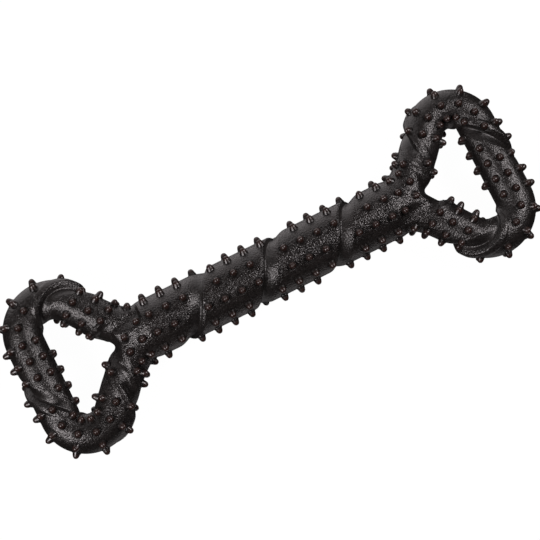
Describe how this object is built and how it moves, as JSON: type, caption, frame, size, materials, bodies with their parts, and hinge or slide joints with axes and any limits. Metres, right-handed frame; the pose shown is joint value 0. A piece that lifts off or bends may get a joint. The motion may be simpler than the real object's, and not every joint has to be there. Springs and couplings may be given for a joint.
{
  "type": "chew toy",
  "caption": "Twisted rubber chew bar covered in rounded nubs, with a flat triangular tug loop at each end.",
  "frame": {"origin": "middle of the twisted bar, on its axis, which is also the middle of the bounding box", "axes": "+X along the bar towards the right loop, +Y in the plane of the loops, +Z square to the plane of the loops"},
  "size_m": [0.3326, 0.1168, 0.0412],
  "materials": {
    "black_rubber": "satin black rubber with a fine leather-like grain",
    "nub_rubber": "glossy dark reddish-brown rubber"
  },
  "bodies": {
    "root": {"twisted_bar": "black_rubber", "left_yoke": "black_rubber", "right_yoke": "black_rubber", "left_loop": "black_rubber", "right_loop": "black_rubber", "bar_nubs": "nub_rubber", "left_yoke_nubs": "nub_rubber", "right_yoke_nubs": "nub_rubber", "left_loop_nubs": "nub_rubber", "right_loop_nubs": "nub_rubber"}
  },
  "joints": []
}
